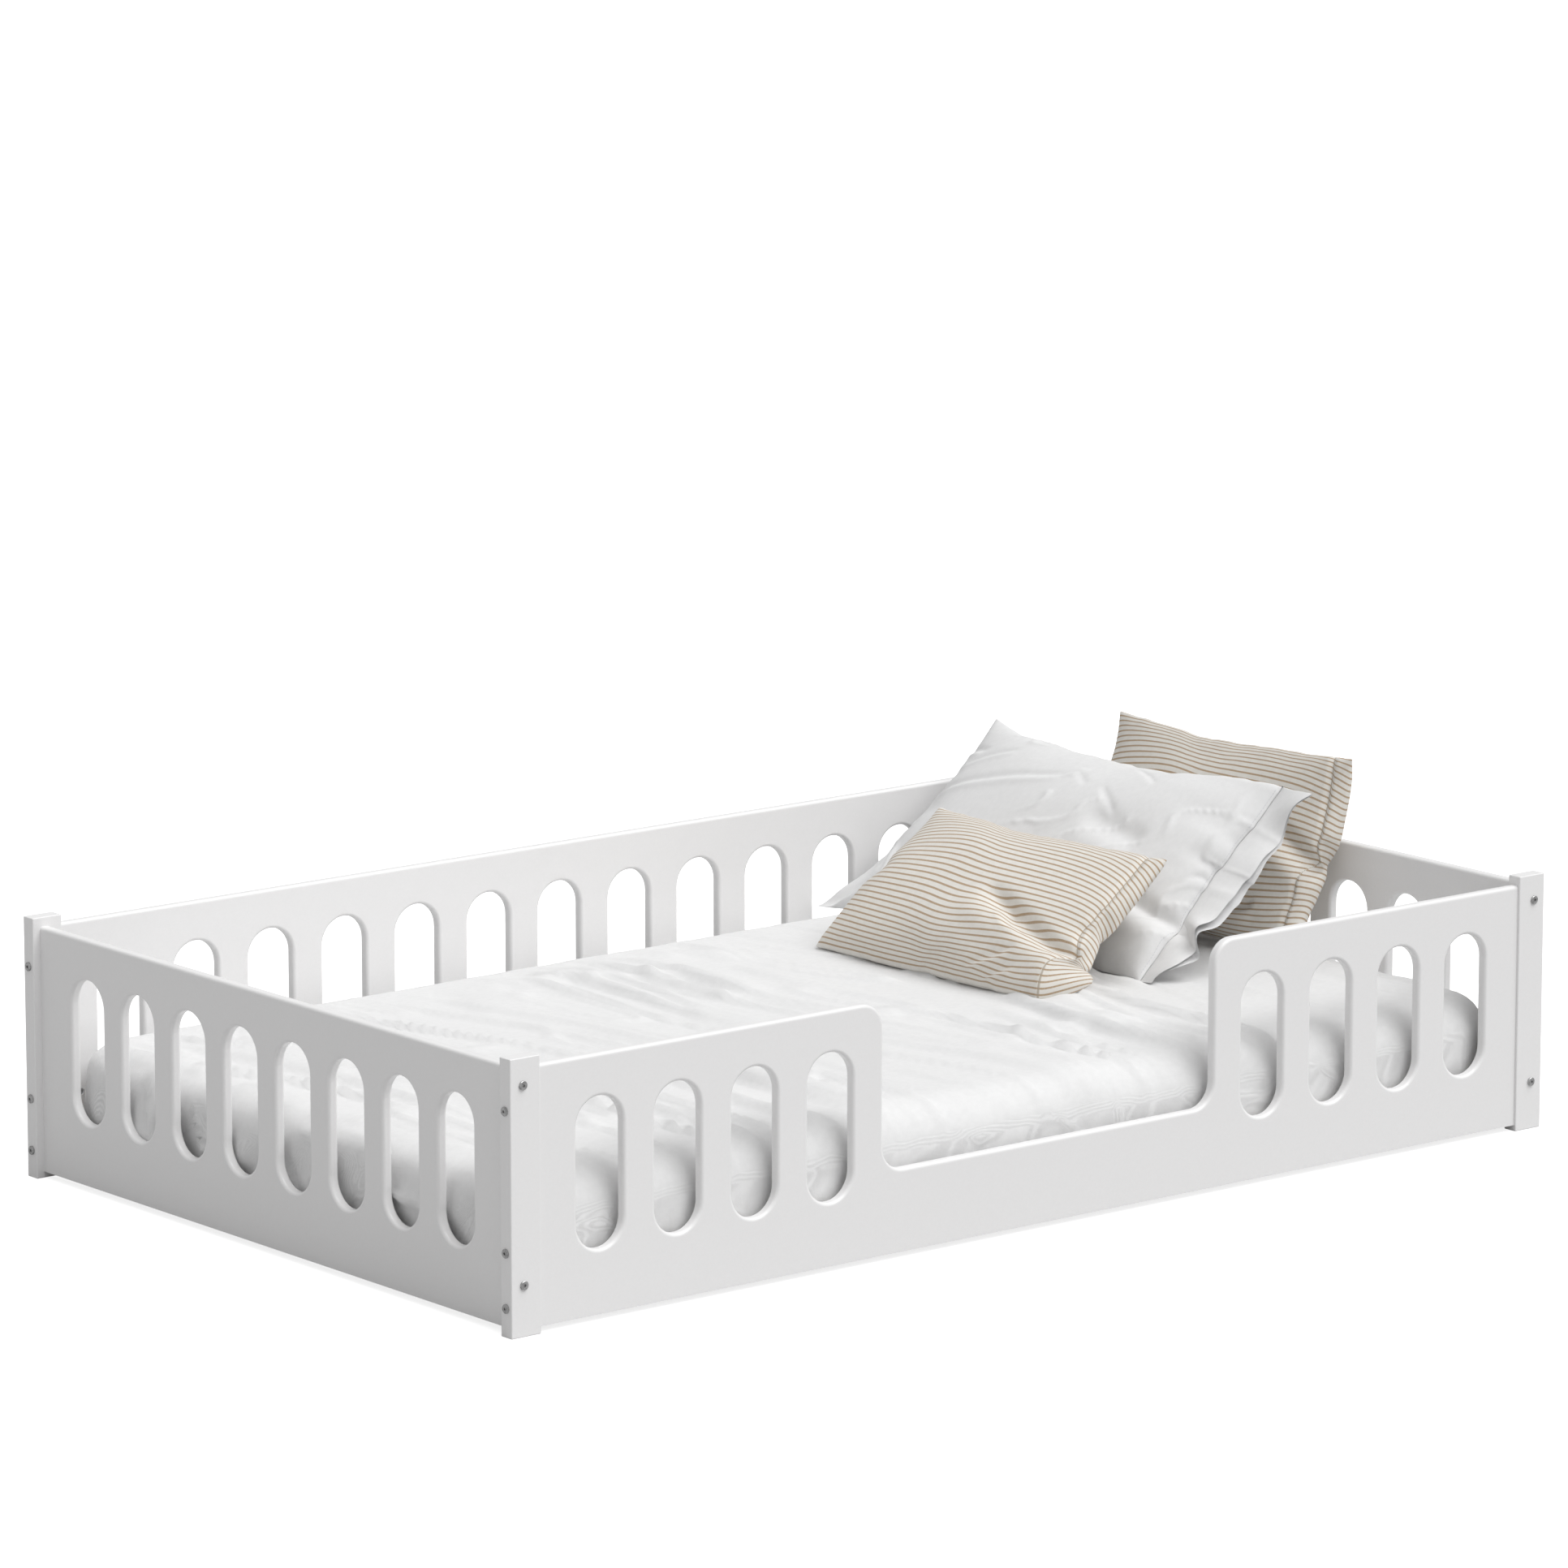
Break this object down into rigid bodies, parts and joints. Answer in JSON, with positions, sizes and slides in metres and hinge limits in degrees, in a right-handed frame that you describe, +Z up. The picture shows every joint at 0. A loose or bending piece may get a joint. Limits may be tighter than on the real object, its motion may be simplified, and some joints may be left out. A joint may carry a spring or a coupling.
{
  "type": "toddler bed",
  "caption": "Low white floor bed with slotted panels all round, a cut-out entry in the front, a slatted base, a sheeted mattress and leaning pillows.",
  "frame": {"origin": "on the floor, midway between the four posts", "axes": "+X from the foot end to the head end, where the pillows are; -Y is the open front side; +Z up"},
  "size_m": [2.076, 1.263, 0.542],
  "materials": {
    "white_lacquer": "satin white lacquer on board and solid posts",
    "zinc_bolt": "zinc plated, turned, slightly dull",
    "zinc_fitting": "zinc plated, plain",
    "beech": "raw fluteless beech dowel",
    "planed_pine": "planed pine, unfinished",
    "slat_pine": "planed pine slats, unfinished",
    "yellow_screw": "yellow zinc plated",
    "webbing": "woven polyester tape",
    "galvanised_steel": "galvanised folded sheet",
    "beech_foot": "turned beech, oiled",
    "foam": "polyether foam",
    "white_jersey": "soft white cotton jersey, loosely wrinkled",
    "filling": "polyester fibre filling",
    "striped_cotton": "cream plain weave with thin tan stripes",
    "white_cotton": "white percale cotton"
  },
  "bodies": {
    "bed_frame": {"foot_front_post": "white_lacquer", "foot_back_post": "white_lacquer", "head_front_post": "white_lacquer", "head_back_post": "white_lacquer", "front_panel": "white_lacquer", "back_panel": "white_lacquer", "foot_end_panel": "white_lacquer", "head_end_panel": "white_lacquer", "foot_front_bolts": "zinc_bolt", "foot_back_bolts": "zinc_bolt", "head_front_bolts": "zinc_bolt", "head_back_bolts": "zinc_bolt", "foot_front_barrel_nuts": "zinc_fitting", "foot_back_barrel_nuts": "zinc_fitting", "head_front_barrel_nuts": "zinc_fitting", "head_back_barrel_nuts": "zinc_fitting", "foot_front_dowels": "beech", "foot_back_dowels": "beech", "head_front_dowels": "beech", "head_back_dowels": "beech", "front_ledger": "planed_pine", "back_ledger": "planed_pine", "front_ledger_screws": "yellow_screw", "back_ledger_screws": "yellow_screw", "slat_01": "slat_pine", "slat_02": "slat_pine", "slat_03": "slat_pine", "slat_04": "slat_pine", "slat_05": "slat_pine", "slat_06": "slat_pine", "slat_07": "slat_pine", "slat_08": "slat_pine", "slat_09": "slat_pine", "slat_10": "slat_pine", "slat_11": "slat_pine", "slat_12": "slat_pine", "slat_13": "slat_pine", "slat_screws": "yellow_screw", "front_webbing_tape": "webbing", "back_webbing_tape": "webbing", "centre_beam": "planed_pine", "foot_beam_hanger": "galvanised_steel", "head_beam_hanger": "galvanised_steel", "hanger_screws": "yellow_screw", "centre_foot_1": "beech_foot", "centre_foot_2": "beech_foot", "centre_foot_3": "beech_foot", "centre_foot_screws": "yellow_screw"},
    "mattress": {"mattress_core": "foam", "fitted_sheet": "white_jersey"},
    "back_pillow": {"back_pillow_filling": "filling", "back_pillow_case": "striped_cotton"},
    "white_pillow": {"white_pillow_filling": "filling", "white_pillow_case": "white_cotton"},
    "front_pillow": {"front_pillow_filling": "filling", "front_pillow_case": "striped_cotton"}
  },
  "joints": [
    {"name": "mattress_lift", "type": "slide", "parent": "bed_frame", "child": "mattress", "axis": [0, 0, 1], "range_m": [0, 0.45]},
    {"name": "back_pillow_lift", "type": "slide", "parent": "mattress", "child": "back_pillow", "axis": [0, 0, 1], "range_m": [0, 0.35]},
    {"name": "white_pillow_lift", "type": "slide", "parent": "back_pillow", "child": "white_pillow", "axis": [0, 0, 1], "range_m": [0, 0.35]},
    {"name": "front_pillow_lift", "type": "slide", "parent": "white_pillow", "child": "front_pillow", "axis": [0, 0, 1], "range_m": [0, 0.3]}
  ]
}
